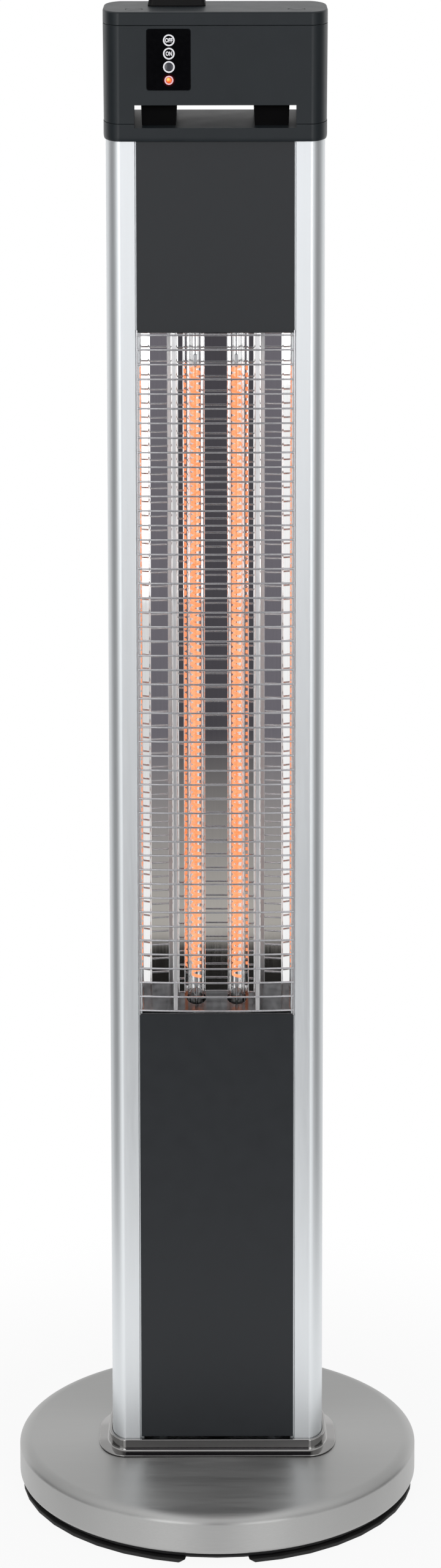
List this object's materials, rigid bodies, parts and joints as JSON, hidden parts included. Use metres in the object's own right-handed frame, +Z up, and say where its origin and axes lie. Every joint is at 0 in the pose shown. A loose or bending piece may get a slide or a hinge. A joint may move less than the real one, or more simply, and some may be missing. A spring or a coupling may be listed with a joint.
{
  "type": "tower patio heater",
  "caption": "Upright electric patio heater: slim aluminium column with glowing quartz tubes behind a wire guard, sloping control head and round weighted base.",
  "frame": {"origin": "on the floor under the middle of the round base", "axes": "+Z up, -Y towards the side that heats, +X to the right as seen from the front"},
  "size_m": [0.3124, 0.3124, 1.1715],
  "materials": {
    "base_steel": "brushed, mid grey",
    "tray_plastic": "matte black",
    "ballast_iron": "raw casting",
    "pad_rubber": "matte black",
    "zinc_steel": "zinc plated",
    "collar_chrome": "polished",
    "column_aluminium": "satin anodised",
    "panel_paint": "fine matte charcoal",
    "head_plastic": "satin charcoal",
    "black_plastic": "matte black",
    "reflector_sheet": "mirror polished",
    "guard_steel": "bright wire",
    "quartz_glass": "clear",
    "glowing_carbon": "glowing orange",
    "ceramic_cap": "unglazed ceramic",
    "fascia_gloss": "glossy black",
    "receiver_lens": "smoked",
    "lamp_lens": "lit red",
    "board": "green solder mask"
  },
  "bodies": {
    "heater": {"base_cover": "base_steel", "base_tray": "tray_plastic", "ballast_plate": "ballast_iron", "foot_pad_1": "pad_rubber", "foot_pad_2": "pad_rubber", "foot_pad_3": "pad_rubber", "foot_pad_4": "pad_rubber", "base_bolt_1": "zinc_steel", "base_bolt_2": "zinc_steel", "base_bolt_3": "zinc_steel", "base_bolt_4": "zinc_steel", "column_bracket": "zinc_steel", "tilt_switch": "black_plastic", "foot_collar": "collar_chrome", "left_profile": "column_aluminium", "right_profile": "column_aluminium", "lower_front_panel": "panel_paint", "upper_front_panel": "panel_paint", "back_cover": "panel_paint", "back_screw_1": "zinc_steel", "back_screw_2": "zinc_steel", "back_screw_3": "zinc_steel", "back_screw_4": "zinc_steel", "cable_gland": "black_plastic", "terminal_block": "ceramic_cap", "reflector": "reflector_sheet", "reflector_foot": "reflector_sheet", "thermal_cutout": "black_plastic", "chamber_top_plate": "zinc_steel", "chamber_bottom_plate": "zinc_steel", "tube_left": "quartz_glass", "tube_right": "quartz_glass", "coil_left": "glowing_carbon", "coil_right": "glowing_carbon", "tube_cap_left_top": "ceramic_cap", "tube_cap_left_bottom": "ceramic_cap", "tube_cap_right_top": "ceramic_cap", "tube_cap_right_bottom": "ceramic_cap", "wire_guard": "guard_steel", "guard_bar_left": "guard_steel", "guard_bar_right": "guard_steel", "head_collar": "head_plastic", "cable_duct_left": "black_plastic", "cable_duct_right": "black_plastic", "head_housing": "head_plastic", "head_lid": "head_plastic", "lid_screw_1": "head_plastic", "lid_screw_2": "head_plastic", "control_fascia": "fascia_gloss", "receiver_lens": "receiver_lens", "lamp_lens": "lamp_lens", "control_board": "board", "switch_housing": "black_plastic", "rocker_pin": "zinc_steel"},
    "off_key": {"off_button": "fascia_gloss"},
    "on_key": {"on_button": "fascia_gloss"},
    "rocker": {"rocker_switch": "fascia_gloss"}
  },
  "joints": [
    {"name": "off_key_press", "type": "slide", "parent": "heater", "child": "off_key", "axis": [0, 1, 0], "range_m": [0, 0.0008], "stiffness_N_per_m": 300, "springref_m": -0.001},
    {"name": "on_key_press", "type": "slide", "parent": "heater", "child": "on_key", "axis": [0, 1, 0], "range_m": [0, 0.0008], "stiffness_N_per_m": 300, "springref_m": -0.001},
    {"name": "rocker_tilt", "type": "hinge", "parent": "heater", "child": "rocker", "pos_m": [-0.02895, 0.00335, 1.16446], "axis": [0, 0.9785, 0.2062], "range_deg": [0, 16]}
  ]
}
